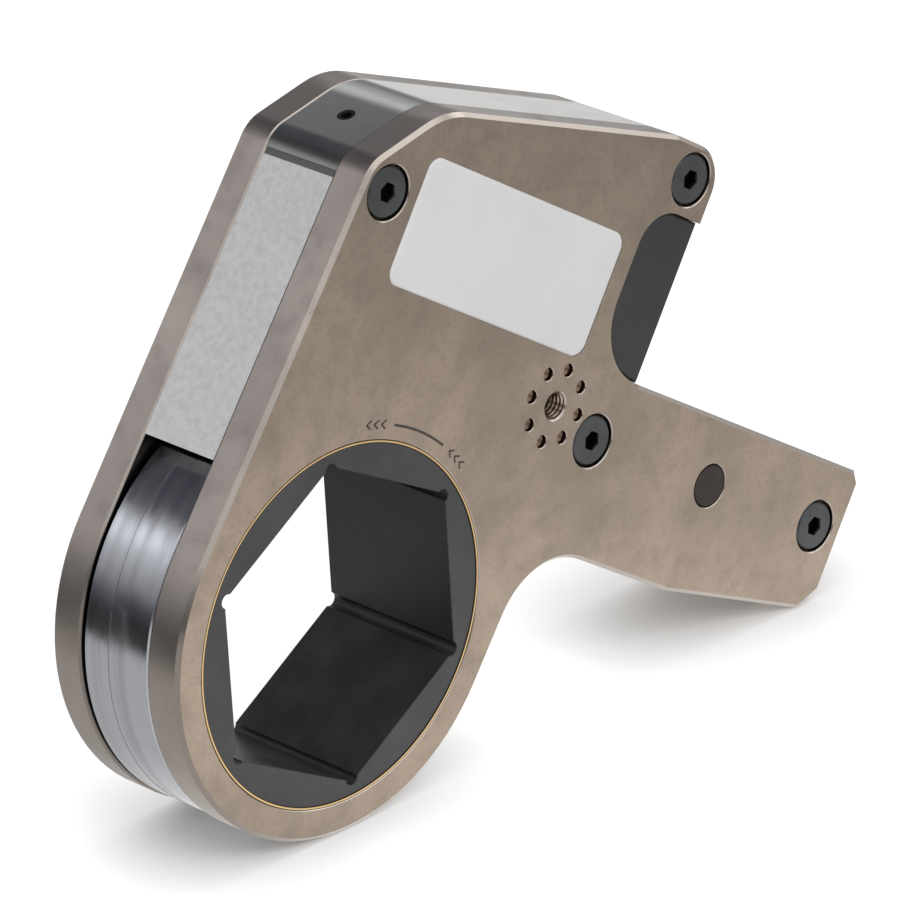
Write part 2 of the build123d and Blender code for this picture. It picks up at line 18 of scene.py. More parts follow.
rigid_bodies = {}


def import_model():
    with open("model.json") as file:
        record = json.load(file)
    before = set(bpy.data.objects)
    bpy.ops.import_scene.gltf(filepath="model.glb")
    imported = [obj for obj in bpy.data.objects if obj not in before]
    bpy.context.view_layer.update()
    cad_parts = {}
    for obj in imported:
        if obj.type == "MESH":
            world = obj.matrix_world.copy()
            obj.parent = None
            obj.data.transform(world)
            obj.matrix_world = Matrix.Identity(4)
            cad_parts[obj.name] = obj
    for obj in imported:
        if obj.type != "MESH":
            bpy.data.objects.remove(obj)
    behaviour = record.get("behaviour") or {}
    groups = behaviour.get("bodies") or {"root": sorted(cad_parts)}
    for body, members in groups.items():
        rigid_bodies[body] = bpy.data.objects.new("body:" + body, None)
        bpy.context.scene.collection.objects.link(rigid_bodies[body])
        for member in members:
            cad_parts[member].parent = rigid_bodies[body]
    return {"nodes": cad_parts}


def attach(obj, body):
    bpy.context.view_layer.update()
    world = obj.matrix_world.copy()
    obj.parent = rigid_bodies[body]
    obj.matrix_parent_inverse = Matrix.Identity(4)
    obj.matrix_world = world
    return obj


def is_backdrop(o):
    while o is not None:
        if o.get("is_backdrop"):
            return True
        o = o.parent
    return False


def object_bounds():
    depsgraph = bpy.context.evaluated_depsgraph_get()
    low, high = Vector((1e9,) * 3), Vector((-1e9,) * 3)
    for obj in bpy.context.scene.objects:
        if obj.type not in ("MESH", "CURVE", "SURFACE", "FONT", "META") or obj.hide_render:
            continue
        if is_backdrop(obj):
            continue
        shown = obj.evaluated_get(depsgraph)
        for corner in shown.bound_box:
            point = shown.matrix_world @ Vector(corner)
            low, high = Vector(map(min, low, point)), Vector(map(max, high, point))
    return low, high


for leftover in list(bpy.data.objects):
    bpy.data.objects.remove(leftover)
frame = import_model()
nodes = frame["nodes"]
cad_box = [[float(x) for x in corner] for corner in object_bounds()]
MM = 0.001
print("nodes:", len(nodes), "box in mm:", [[round(x / MM, 1) for x in corner] for corner in cad_box])

# %% [markdown]
# ## The tool's own axes
#
# The tool stands on its nose and on the lower corner of its arm, so its arm slopes down by 32.81 degrees.
# Drawings of such a tool use its own axes instead: p along the arm, q across it, w out of the front
# plate. One function turns those into the frame that every object shares, so that the pieces below can
# use the drawing's numbers.

# %% Tool axes
stand_angle = math.radians(32.81)
along_arm = np.array([math.cos(stand_angle), 0.0, -math.sin(stand_angle)])
across_arm = np.array([math.sin(stand_angle), 0.0, math.cos(stand_angle)])
out_of_front = np.array([0.0, -1.0, 0.0])
facet_out = (across_arm - along_arm) / math.sqrt(2.0)   # out of the sloped facet at the upper left
plate_face = 26.45             # outside of a plate, from the middle of the tool's thickness


def tool_point(p, q, w):
    """Point or points in metres: p, q and w millimetres along the tool's three axes, added up."""
    p, q, w = np.broadcast_arrays(p, q, w)
    return MM * (p[..., None] * along_arm + q[..., None] * across_arm + w[..., None] * out_of_front)


print("the facet looks along", facet_out.round(3))

# %% [markdown]
# ## Camera
#
# The photograph's camera was worked out from shapes whose true form is known: the hexagon, the round
# bore, the screw heads, the circle of index holes and the two equal side plates, one behind the other. It
# looks from the front left, a little from above, through a long lens from two metres away, and is turned
# by two degrees about its line of sight.

# %% Camera
view_azimuth = math.radians(-44.311)
view_elevation = math.radians(24.507)
view_roll = math.radians(-2.126)
view_distance = 2.0848
aim_point = Vector((0.07187, 0.0, 0.02339))
focal_length = 280.0           # millimetres
sensor_width = 36.0
farthest_seen = 50.0           # metres

level_right = Vector((math.cos(view_azimuth), math.sin(view_azimuth), 0.0))
back = Vector((math.sin(view_azimuth) * math.cos(view_elevation),
               -math.cos(view_azimuth) * math.cos(view_elevation), math.sin(view_elevation)))
right = math.cos(view_roll) * level_right + math.sin(view_roll) * back.cross(level_right)
up = back.cross(right)
view = Matrix((right, up, back)).transposed().to_4x4()
view.translation = aim_point + view_distance * back
camera = bpy.data.objects.new("camera", bpy.data.cameras.new("camera"))
camera.data.lens = focal_length
camera.data.sensor_width = sensor_width
camera.data.clip_end = farthest_seen
camera.matrix_world = view
bpy.context.scene.collection.objects.link(camera)
bpy.context.scene.camera = camera
bpy.context.scene.view_settings.view_transform = "Standard"
print("camera at", [round(x, 3) for x in camera.matrix_world.translation])

# %% [markdown]
# ## Helpers for nodes
#
# The floor, the surroundings and every finish are small graphs of nodes. Four helpers keep them readable:
# one starts an empty material, one links pairs of sockets, one measures how far a vector points along a
# direction, and one adds or multiplies two sockets.

# %% Helpers
range_sockets = ("From Min", "From Max", "To Min", "To Max")


def new_material(name):
    """Empty node material, with its node tree and its output."""
    material = bpy.data.materials.new(name)
    material.use_nodes = True
    tree = material.node_tree
    tree.nodes.clear()
    output = tree.nodes.new("ShaderNodeOutputMaterial")
    return material, tree, output


def connect(tree, *pairs):
    """Links the first socket of each pair to its second."""
    for start, end in pairs:
        tree.links.new(start, end)


def aimed(tree, vector, direction, start, end, low, high):
    """Value that goes from low to high as a vector's length along a direction goes from start to end."""
    along = tree.nodes.new("ShaderNodeVectorMath")
    along.operation = "DOT_PRODUCT"
    along.inputs[1].default_value = direction
    ranged = tree.nodes.new("ShaderNodeMapRange")
    ranged.interpolation_type = "SMOOTHSTEP"
    for socket, number in zip(range_sockets, (start, end, low, high)):
        ranged.inputs[socket].default_value = number
    connect(tree, (vector, along.inputs[0]), (along.outputs["Value"], ranged.inputs["Value"]))
    return ranged.outputs["Result"]


def combined(tree, operation, first, second):
    """Sum or product of two sockets."""
    node = tree.nodes.new("ShaderNodeMath")
    node.operation = operation
    connect(tree, (first, node.inputs[0]), (second, node.inputs[1]))
    return node.outputs[0]


# %% [markdown]
# ## Floor
#
# For the camera the floor is plain matt paper that shines a little by itself, so that it is white outside
# the tool's shadow. Paper darkens where something stands close above it, and the Ambient Occlusion node
# measures how much of the sky a spot has lost, so it dims the shine there. Bare metal needs a table to
# mirror, and only reflections see that one: it is brightest close to the tool at its front right, dims
# further out there and towards the back right, and ends in the dark at the back left. Every zone is a
# rise or fall of light along one direction.

# %% Floor
floor_half = 6.0
floor_height = min(corner[2] for corner in cad_box)
floor_corners = [(-1, -1), (1, -1), (1, 1), (-1, 1)]
paper_grey = 0.55
paper_shine = 0.84
shadow_reach = 0.035
# Each zone: a direction, where it starts and ends along it in metres, and its light at both places.
table_zones = [
    ((0.71, -0.70, 0.0), -0.08, 0.06, 0.56, 1.45),
    ((0.71, -0.70, 0.0), 0.10, 0.50, 1.0, 0.48),
    ((-0.76, 0.65, 0.0), 0.30, 0.38, 1.0, 0.07),
    ((0.76, 0.65, 0.0), 0.30, 0.90, 1.0, 0.70),
]

floor_mesh = bpy.data.meshes.new("floor")
floor_mesh.from_pydata([(x * floor_half, y * floor_half, floor_height) for x, y in floor_corners], [],
                       [(0, 1, 2, 3)])
floor = bpy.data.objects.new("floor", floor_mesh)
bpy.context.scene.collection.objects.link(floor)
floor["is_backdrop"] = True

floor_material, tree, output = new_material("floor_paper")
matt = tree.nodes.new("ShaderNodeBsdfDiffuse")
matt.inputs["Color"].default_value = (paper_grey, paper_grey, paper_grey, 1.0)
contact = tree.nodes.new("ShaderNodeAmbientOcclusion")
contact.inputs["Distance"].default_value = shadow_reach
shine = tree.nodes.new("ShaderNodeEmission")
shine.inputs["Strength"].default_value = paper_shine
paper = tree.nodes.new("ShaderNodeAddShader")
table = tree.nodes.new("ShaderNodeEmission")
place = tree.nodes.new("ShaderNodeTexCoord").outputs["Object"]
zone_lights = [aimed(tree, place, *zone) for zone in table_zones]
table_light = zone_lights[0]
for zone_light in zone_lights[1:]:
    table_light = combined(tree, "MULTIPLY", table_light, zone_light)
path = tree.nodes.new("ShaderNodeLightPath")
for_camera = tree.nodes.new("ShaderNodeMixShader")
for_gloss = tree.nodes.new("ShaderNodeMixShader")
connect(tree, (contact.outputs["Color"], shine.inputs["Color"]), (matt.outputs[0], paper.inputs[0]),
        (shine.outputs[0], paper.inputs[1]), (path.outputs["Is Camera Ray"], for_camera.inputs["Fac"]),
        (matt.outputs[0], for_camera.inputs[1]), (paper.outputs[0], for_camera.inputs[2]),
        (table_light, table.inputs["Strength"]), (path.outputs["Is Glossy Ray"], for_gloss.inputs["Fac"]),
        (for_camera.outputs[0], for_gloss.inputs[1]), (table.outputs[0], for_gloss.inputs[2]),
        (for_gloss.outputs[0], output.inputs["Surface"]))
floor.data.materials.append(floor_material)
print("floor at", round(floor_height / MM, 2), "mm")

# %% [markdown]
# ## Surroundings
#
# Bare metal has hardly any colour of its own: it shows what surrounds it. A studio gives it large soft
# lamps and, beyond the table, the dark room, and those make the bright and dark stripes on a curved steel
# ring. Here only reflections see that room. It is a ramp over the height of the sky, dark at the horizon
# and brightest a third of the way up, with a soft box high in front and a pale wall low at the front
# right. Matt surfaces get one plain light from all sides instead, and the camera sees white.

# %% Surroundings
sky_steps = [                  # height, where 0 is straight down and 1 straight up, and light
    (0.0, 0.55), (0.485, 0.30), (0.50, 0.05), (0.53, 0.08), (0.60, 0.38), (0.68, 0.62), (0.72, 1.15),
    (0.75, 1.15), (0.785, 0.10), (0.88, 0.05), (1.0, 0.30),
]
soft_box = (0.15, -0.65, 0.75)
soft_box_edge = math.cos(math.radians(40))
soft_box_core = math.cos(math.radians(20))
front_room = (0.72, -0.60, -0.35)
front_room_light = 0.62
lamp_grey = 0.8
plain_light = 0.45


def background(tree, grey, strength=1.0):
    """Surroundings of one grey."""
    node = tree.nodes.new("ShaderNodeBackground")
    node.inputs["Color"].default_value = (grey, grey, grey, 1.0)
    node.inputs["Strength"].default_value = strength
    return node


def sky_ramp(tree, direction):
    """Light by the height of a direction, as a slightly blue grey."""
    parts = tree.nodes.new("ShaderNodeSeparateXYZ")
    height = tree.nodes.new("ShaderNodeMapRange")
    height.inputs["From Min"].default_value = -1.0
    ramp = tree.nodes.new("ShaderNodeValToRGB")
    while len(ramp.color_ramp.elements) < len(sky_steps):
        ramp.color_ramp.elements.new(0.5)
    for element, (position, light) in zip(ramp.color_ramp.elements, sky_steps):
        element.position = position
        element.color = (light, light * 1.01, light * 1.03 + 0.012, 1.0)
    connect(tree, (direction, parts.inputs[0]), (parts.outputs["Z"], height.inputs["Value"]),
            (height.outputs["Result"], ramp.inputs["Fac"]))
    return ramp.outputs["Color"]


world = bpy.data.worlds.new("studio")
bpy.context.scene.world = world
world.use_nodes = True
tree = world.node_tree
tree.nodes.clear()
output = tree.nodes.new("ShaderNodeOutputWorld")
direction = tree.nodes.new("ShaderNodeTexCoord").outputs["Generated"]
sky = background(tree, 1.0)
lamps = background(tree, lamp_grey)
box_light = aimed(tree, direction, soft_box, soft_box_edge, soft_box_core, 0.0, 1.0)
room_light = aimed(tree, direction, front_room, 0.20, 0.60, 0.0, front_room_light)
mirrored = tree.nodes.new("ShaderNodeAddShader")
plain = background(tree, 1.0, plain_light)
white = background(tree, 1.0)
path = tree.nodes.new("ShaderNodeLightPath")
by_gloss = tree.nodes.new("ShaderNodeMixShader")
by_camera = tree.nodes.new("ShaderNodeMixShader")
connect(tree, (sky_ramp(tree, direction), sky.inputs["Color"]),
        (combined(tree, "ADD", box_light, room_light), lamps.inputs["Strength"]),
        (sky.outputs[0], mirrored.inputs[0]), (lamps.outputs[0], mirrored.inputs[1]),
        (path.outputs["Is Glossy Ray"], by_gloss.inputs["Fac"]), (plain.outputs[0], by_gloss.inputs[1]),
        (mirrored.outputs[0], by_gloss.inputs[2]), (path.outputs["Is Camera Ray"], by_camera.inputs["Fac"]),
        (by_gloss.outputs[0], by_camera.inputs[1]), (white.outputs[0], by_camera.inputs[2]),
        (by_camera.outputs[0], output.inputs["Surface"]))
print("sky in", len(sky_steps), "steps, brightest", max(light for _, light in sky_steps))

# %% [markdown]
# ## Lamp
#
# One large soft lamp hangs over the camera. It lights what is matt, such as the name plate and the floor,
# and throws the soft shadow. Reflections don't show it, because the surroundings above already give them
# their lamps, and a second one would burn out the pale metal when the tool is seen from behind.

# %% Lamp
lamp_place = Vector((-0.5, -1.8, 1.5))
lamp_target = Vector((0.05, 0.0, 0.03))
lamp_size = (1.2, 0.9)
lamp_power = 23.0

lamp = bpy.data.objects.new("lamp_over_camera", bpy.data.lights.new("lamp_over_camera", "AREA"))
lamp.data.shape = "RECTANGLE"
lamp.data.size, lamp.data.size_y = lamp_size
lamp.data.energy = lamp_power
lamp.visible_glossy = False
lamp.location = lamp_place
lamp.rotation_euler = (lamp_target - lamp_place).to_track_quat("-Z", "Y").to_euler()
bpy.context.scene.collection.objects.link(lamp)
print("lamp's radiance", round(lamp_power / (math.pi * lamp_size[0] * lamp_size[1]), 2))

# %% [markdown]
# ## Smooth curves on the CAD solids
#
# A CAD solid arrives as loose flat triangles. Its round surfaces should shade as round ones, and its
# corners should stay crisp. Changing the mesh isn't allowed, and isn't needed: a small Geometry Nodes
# group joins the triangles, shades them smooth and keeps as sharp each edge that turns by more than a
# chosen angle. It is live on every node, and so is a modifier that keeps the flat faces flat.

# %% Smooth shading group
sharp_turn = math.radians(28.0)
weld_distance = 0.002 * MM


def machined_shading():
    """Node group: merge points closer than the weld distance, smooth faces, keep edges that turn sharply."""
    group = bpy.data.node_groups.new("machined_shading", "GeometryNodeTree")
    group.interface.new_socket("Geometry", in_out="INPUT", socket_type="NodeSocketGeometry")
    group.interface.new_socket("Geometry", in_out="OUTPUT", socket_type="NodeSocketGeometry")
    start = group.nodes.new("NodeGroupInput")
    weld = group.nodes.new("GeometryNodeMergeByDistance")
    weld.inputs["Distance"].default_value = weld_distance
    faces = group.nodes.new("GeometryNodeSetShadeSmooth")
    angle = group.nodes.new("GeometryNodeInputMeshEdgeAngle")
    sharp = group.nodes.new("FunctionNodeCompare")
    sharp.data_type = "FLOAT"
    sharp.operation = "GREATER_THAN"
    sharp.inputs[1].default_value = sharp_turn
    edges = group.nodes.new("GeometryNodeSetShadeSmooth")
    edges.domain = "EDGE"
    edges.inputs["Shade Smooth"].default_value = False
    end = group.nodes.new("NodeGroupOutput")
    connect(group, (start.outputs[0], weld.inputs["Geometry"]), (weld.outputs[0], faces.inputs["Geometry"]),
            (faces.outputs[0], edges.inputs["Geometry"]), (angle.outputs["Unsigned Angle"], sharp.inputs[0]),
            (sharp.outputs["Result"], edges.inputs["Selection"]), (edges.outputs[0], end.inputs[0]))
    return group


shading_group = machined_shading()
for node in nodes.values():
    node.modifiers.new("machined_shading", "NODES").node_group = shading_group
    weighted = node.modifiers.new("flat_faces_stay_flat", "WEIGHTED_NORMAL")
    weighted.keep_sharp = True
print("shading group on", len(nodes), "nodes")

# %% [markdown]
# ## Finishes
#
# Every finish starts from the same shader and takes its patterns from a few ingredients: noise of some
# size, in millimetres, which is stretched where it should look like lines; the surface's own normal,
# which tells a face from an edge; and the distance from an axis. Noise changes the colour, the gloss or a
# fine relief. All of them are read in the piece's own coordinates, so they stay on it wherever it moves.

# %% Ingredients


class Finish:
    """A finish: one Principled shader and the patterns that drive its colour, gloss and relief."""

    def __init__(self, name, metallic, colour=None, roughness=None):
        self.material, self.tree, output = new_material(name)
        self.shader = self.tree.nodes.new("ShaderNodeBsdfPrincipled")
        self.set("Metallic", metallic)
        if colour is not None:
            self.set("Base Color", (*colour, 1.0))
        if roughness is not None:
            self.set("Roughness", roughness)
        self.link(self.shader.outputs[0], output.inputs["Surface"])
        self.place = self.tree.nodes.new("ShaderNodeTexCoord")
        self.relief = None

    def set(self, socket, value):
        """A value that is the same all over the surface."""
        self.shader.inputs[socket].default_value = value

    def link(self, start, end):
        """Carries one socket to another."""
        self.tree.links.new(start, end)

    def turned(self, stretch=(1.0, 1.0, 1.0), turn=(0.0, 0.0, 0.0), shift=(0.0, 0.0, 0.0)):
        """Object coordinates, turned by degrees, shifted and then stretched."""
        turned = self.tree.nodes.new("ShaderNodeMapping")
        turned.vector_type = "POINT"
        turned.inputs["Location"].default_value = shift
        turned.inputs["Rotation"].default_value = [math.radians(angle) for angle in turn]
        self.link(self.place.outputs["Object"], turned.inputs["Vector"])
        stretched = self.tree.nodes.new("ShaderNodeVectorMath")
        stretched.operation = "MULTIPLY"
        stretched.inputs[1].default_value = stretch
        self.link(turned.outputs["Vector"], stretched.inputs[0])
        return stretched.outputs[0]

    def noise(self, vector, size, detail=3.0, softness=0.5):
        """Noise whose features are about size millimetres across."""
        noise = self.tree.nodes.new("ShaderNodeTexNoise")
        noise.inputs["Scale"].default_value = 1.0 / (size * MM)
        noise.inputs["Detail"].default_value = detail
        noise.inputs["Roughness"].default_value = softness
        self.link(vector, noise.inputs["Vector"])
        return noise.outputs["Fac"]

    def ranged(self, value, low, high, to_low, to_high):
        """A value from one range carried to another, and held at its ends."""
        ranged = self.tree.nodes.new("ShaderNodeMapRange")
        for socket, number in zip(range_sockets, (low, high, to_low, to_high)):
            ranged.inputs[socket].default_value = number
        self.link(value, ranged.inputs["Value"])
        return ranged.outputs["Result"]

    def share(self, value, low, high, most=1.0):
        """How far a value has come from low to high: 0 at low, most at high."""
        return self.ranged(value, low, high, 0.0, most)

    def mixed(self, factor, first, second):
        """Colour between two colours or sockets."""
        mix = self.tree.nodes.new("ShaderNodeMix")
        mix.data_type = "RGBA"
        self.link(factor, mix.inputs["Factor"])
        for socket, colour in ((mix.inputs["A"], first), (mix.inputs["B"], second)):
            if isinstance(colour, tuple):
                socket.default_value = (*colour, 1.0)
            else:
                self.link(colour, socket)
        return mix.outputs["Result"]

    def maths(self, operation, first, second=None):
        """Result of one Math node on sockets or numbers."""
        node = self.tree.nodes.new("ShaderNodeMath")
        node.operation = operation
        for socket, value in zip(node.inputs, (first, second)):
            if value is None:
                continue
            if isinstance(value, (int, float)):
                socket.default_value = value
            else:
                self.link(value, socket)
        return node.outputs[0]

    def y_size(self, source="Object"):
        """Y part of the Object coordinates or of the Normal, without its sign."""
        parts = self.tree.nodes.new("ShaderNodeSeparateXYZ")
        self.link(self.place.outputs[source], parts.inputs[0])
        return self.maths("ABSOLUTE", parts.outputs["Y"])

    def facing(self, direction):
        """How far the normal points along a direction: 1 for a surface that faces it."""
        product = self.tree.nodes.new("ShaderNodeVectorMath")
        product.operation = "DOT_PRODUCT"
        product.inputs[1].default_value = list(direction)
        self.link(self.place.outputs["Normal"], product.inputs[0])
        return product.outputs["Value"]

    def from_axis(self, p=0.0, q=0.0):
        """Distance in metres from an axis that runs along Y through p and q, in millimetres."""
        across = self.turned((1.0, 0.0, 1.0), shift=tuple(-tool_point(p, q, 0.0)))
        length = self.tree.nodes.new("ShaderNodeVectorMath")
        length.operation = "LENGTH"
        self.link(across, length.inputs[0])
        return length.outputs["Value"]

    def colour(self, socket):
        """Colour that changes over the surface."""
        self.link(socket, self.shader.inputs["Base Color"])

    def gloss(self, socket):
        """Roughness that changes over the surface."""
        self.link(socket, self.shader.inputs["Roughness"])

    def bump(self, value, height):
        """Relief of a height in millimetres, on top of any relief before it."""
        bump = self.tree.nodes.new("ShaderNodeBump")
        bump.inputs["Distance"].default_value = height * MM
        bump.inputs["Strength"].default_value = 1.0
        self.link(value, bump.inputs["Height"])
        if self.relief is not None:
            self.link(self.relief, bump.inputs["Normal"])
        self.relief = bump.outputs["Normal"]
        self.link(self.relief, self.shader.inputs["Normal"])


def dress(finish, *names):
    """Gives CAD nodes a finish in each of their material slots."""
    for name in names:
        for slot in nodes[name].material_slots:
            slot.material = finish.material
    print(finish.material.name, "on", ", ".join(names))


# %% [markdown]
# ### Nickel-plated side plates
#
# The plates are ground, plated and much handled: a warm champagne grey with slow brownish clouds,
# smudges, fine specks and a few scratches. The normal tells the surfaces apart: it points along Y on the
# faces, at right angles to Y on the narrow edges, and between the two on the chamfers. The edges are
# greyer than the faces, and painted darker on the sloped facet as painted shade. The chamfers are polished,
# and carry a painted highlight, palest where they turn towards that facet. The inner faces are painted
# dark as painted shade between the parts, and the blind index holes round the handle's thread are brown
# inside.

# %% Side plates
plate_inside = 14.45           # inner face of a plate, from the middle of the tool's thickness
# Painted shade on the plates' inner faces, between the parts.
inner_painted_shade = (0.05, 0.045, 0.04)
handle_place = (54.7, 81.8)    # p and q of the handle's threaded hole
index_ring = 11.3              # radius of the ring of index holes
index_reach = 2.3              # how far an index hole and its broken edge reach to each side of the ring
index_tone = (0.15, 0.10, 0.075)


def face_colour(finish, spot, clouds, smudges, seed):
    """Slow clouds, with smudges, specks and scratches laid over them one by one."""
    specks = finish.noise(spot, 1.3, 3.0, 0.7)
    scratched = finish.turned((0.03, 1.0, 1.0), (0.0, 48.0, 0.0), (seed, 0.0, 0.0))
    scratches = finish.noise(scratched, 0.6, 2.0, 0.5)
    colour = finish.mixed(finish.share(clouds, 0.35, 0.65), (0.355, 0.283, 0.224), (0.28, 0.228, 0.178))
    for cover, tone in ((finish.share(smudges, 0.45, 0.70, 0.7), (0.26, 0.212, 0.168)),
                        (finish.share(specks, 0.50, 0.80, 0.55), (0.20, 0.165, 0.135)),
                        (finish.share(scratches, 0.70, 0.82, 0.5), (0.42, 0.35, 0.285))):
        colour = finish.mixed(cover, colour, tone)
    return colour


def edge_colour(finish, smudges, on_chamfer):
    """Narrow edges with painted shade on the sloped facet, and chamfers with a painted highlight where they
    turn towards that facet.
    """
    toward_facet = finish.facing(facet_out)
    # Painted highlight: the chamfers are paler the more they face the sloped facet.
    chamfer = finish.mixed(finish.share(toward_facet, 0.38, 0.66), (0.31, 0.27, 0.24), (0.66, 0.59, 0.52))
    narrow = finish.mixed(smudges, (0.53, 0.47, 0.425), (0.44, 0.385, 0.345))
    # Painted shade: the narrow edges are darker where they face the sloped facet.
    narrow = finish.mixed(finish.share(toward_facet, 0.86, 0.98), narrow, (0.33, 0.29, 0.265))
    return finish.mixed(on_chamfer, narrow, chamfer)


def in_index_holes(finish, depth):
    """1 inside the index holes, 0 on the plate's face: near their ring and below that face."""
    off_ring = finish.maths("SUBTRACT", finish.from_axis(*handle_place), index_ring * MM)
    from_ring = finish.maths("ABSOLUTE", off_ring)
    near_ring = finish.ranged(from_ring, (index_reach - 0.05) * MM, index_reach * MM, 1.0, 0.0)
    below_face = finish.ranged(depth, (plate_face - 0.5) * MM, (plate_face - 0.2) * MM, 1.0, 0.0)
    return finish.maths("MULTIPLY", near_ring, below_face)


def plated_steel(name, seed):
    """Plate's finish. The seed shifts its patterns, so that the two plates aren't twins."""
    finish = Finish(name, metallic=1.0)
    spot = finish.turned(shift=(seed, 0.0, seed))
    clouds = finish.noise(spot, 38.0, 3.0, 0.55)
    smudges = finish.noise(spot, 9.0, 4.0, 0.6)
    sideways = finish.y_size("Normal")
    on_face = finish.share(sideways, 0.75, 0.95)
    on_chamfer = finish.share(sideways, 0.35, 0.6)
    skin = finish.mixed(on_face, edge_colour(finish, smudges, on_chamfer),
                        face_colour(finish, spot, clouds, smudges, seed))
    depth = finish.y_size()
    outside = finish.share(depth, (plate_inside + 0.05) * MM, (plate_inside + 0.25) * MM)
    in_holes = finish.maths("MULTIPLY", in_index_holes(finish, depth), outside)
    # Painted shade: inside the plates' inner faces the colour is the dark inner tone.
    finish.colour(finish.mixed(in_holes, finish.mixed(outside, inner_painted_shade, skin), index_tone))
    satin = finish.maths("ADD", finish.ranged(clouds, 0.3, 0.7, 0.30, 0.40),
                         finish.share(smudges, 0.5, 0.7, 0.06))
    polish = finish.maths("MULTIPLY", on_chamfer, finish.ranged(on_face, 0.0, 1.0, 0.12, 0.0))
    finish.gloss(finish.maths("SUBTRACT", satin, polish))
    finish.bump(finish.noise(spot, 0.5, 2.0, 0.6), 0.014)
    hairlines = finish.turned((0.02, 1.0, 1.0), (0.0, 62.0, 0.0))
    finish.bump(finish.noise(hairlines, 0.35, 2.0, 0.6), 0.008)
    return finish


dress(plated_steel("front_plate_nickel", 0.0), "front_side_plate")
dress(plated_steel("rear_plate_nickel", 0.37), "rear_side_plate")

# %% [markdown]
# ### Black oxide on the wheel, the seat and the screws
#
# Black oxide is a thin dark layer on steel. It is nearly black and satin, worn a little lighter in soft
# patches. The hexagon's flats were broached, which leaves fine lines along it, while the seat and the
# screw heads are finely blasted. A screw's socket and the gap round its head lie in shade, which is
# painted: the plate screws are painted black below the face of their heads. The small set screw is black
# all over.

# %% Black oxide
# Below this depth the plate screws are painted black: painted shade in their sockets and in the gaps round
# their heads.
head_face = plate_face - 0.9   # below it the plate screws are black


def black_oxide(name, dark, light, roughness, painted_shade_below=None):
    """Dark finish with lighter patches. Nearer to the tool's middle than the given depth it is painted
    black, as painted shade in sockets and gaps.
    """
    finish = Finish(name, metallic=0.55)
    patches = finish.noise(finish.turned(), 14.0, 4.0, 0.6)
    worn = finish.mixed(finish.share(patches, 0.4, 0.7), dark, light)
    # Painted shade: below the given depth the colour turns black.
    if painted_shade_below is not None:
        shade = finish.ranged(finish.y_size(), (painted_shade_below - 0.3) * MM, painted_shade_below * MM, 1.0, 0.0)
        worn = finish.mixed(shade, worn, (0.006, 0.006, 0.006))
        finish.set("Specular IOR Level", 0.3)
    finish.colour(worn)
    finish.gloss(finish.ranged(patches, 0.35, 0.65, roughness - 0.05, roughness + 0.06))
    return finish


wheel_finish = black_oxide("wheel_black_oxide", (0.045, 0.045, 0.046), (0.068, 0.068, 0.069), 0.42)
wheel_finish.bump(wheel_finish.noise(wheel_finish.turned((1.0, 0.02, 1.0)), 0.7, 2.0, 0.6), 0.02)
dress(wheel_finish, "ratchet_wheel")
seat_finish = black_oxide("seat_black_oxide", (0.04, 0.04, 0.04), (0.055, 0.055, 0.055), 0.5)
seat_finish.bump(seat_finish.noise(seat_finish.turned(), 0.6, 2.0, 0.6), 0.02)
dress(seat_finish, "drive_seat")
screw_finish = black_oxide("screw_black_oxide", (0.06, 0.064, 0.065), (0.088, 0.093, 0.094), 0.38, head_face)
screw_finish.bump(screw_finish.noise(screw_finish.turned(), 0.4, 2.0, 0.6), 0.015)
dress(screw_finish, "front_plate_screws", "rear_plate_screws")
set_screw_finish = black_oxide("set_screw_black_oxide", (0.006, 0.006, 0.006), (0.01, 0.01, 0.01), 0.6)
dress(set_screw_finish, "bridge_set_screw")

# %% [markdown]
# ### Ground steel
#
# The lever's ring is ground while it turns, so its lines run round it and each line keeps one height
# across the tool. A noise that is stretched until it depends on Y alone gives those lines, and smears
# reflections across them. The ring's flat sides are painted darker than its outside, as painted shade.
# The shoe, its guide pins, the lever's pin and the dowels are ground too, with the same painted shade on
# their sides.

# %% Ground steel
side_painted_shade = (0.30, 0.30, 0.31)


def ground_steel(name, colour, roughness):
    """Steel with fine lines round the hexagon's axis, and painted shade on its sides that face along Y."""
    finish = Finish(name, metallic=1.0)
    lines = finish.noise(finish.turned((0.001, 1.0, 0.001)), 0.25, 3.0, 0.7)
    bands = finish.noise(finish.turned((0.02, 1.0, 0.02)), 5.0, 2.0, 0.5)
    haze = finish.noise(finish.turned(), 12.0, 4.0, 0.6)
    banded = finish.ranged(bands, 0.35, 0.65, roughness - 0.05, roughness + 0.06)
    finish.gloss(finish.maths("ADD", banded, finish.share(haze, 0.45, 0.7, 0.08)))
    streaked = finish.mixed(finish.share(bands, 0.4, 0.65), colour, tuple(0.82 * x for x in colour))
    # Painted shade: faces that point along Y take the darker side tone.
    side_shade_mask = finish.share(finish.y_size("Normal"), 0.85, 0.95)
    finish.colour(finish.mixed(side_shade_mask, streaked, side_painted_shade))
    finish.bump(lines, 0.004)
    return finish


dress(ground_steel("lever_ground_steel", (0.60, 0.61, 0.64), 0.18), "drive_lever")
dress(ground_steel("shoe_ground_steel", (0.42, 0.42, 0.43), 0.3), "drive_shoe", "spring_guides", "lever_pin")
dress(ground_steel("dowel_ground_steel", (0.5, 0.5, 0.51), 0.28), "locating_dowels")

# %% [markdown]
# ### Brushed aluminium, steel and bronze
#
# Brushed metal has fine lines in one direction, here an angle from the vertical, and a haze of slightly
# changing gloss. The shroud, the spacer, the rod's bush and the washers change colour with that haze. The
# bridge is painted one tone for each way that it faces, as painted shade: darker on the facet and darkest
# on the left edge's slope.

# %% Brushed metal
bridge_steel = (0.58, 0.585, 0.565)


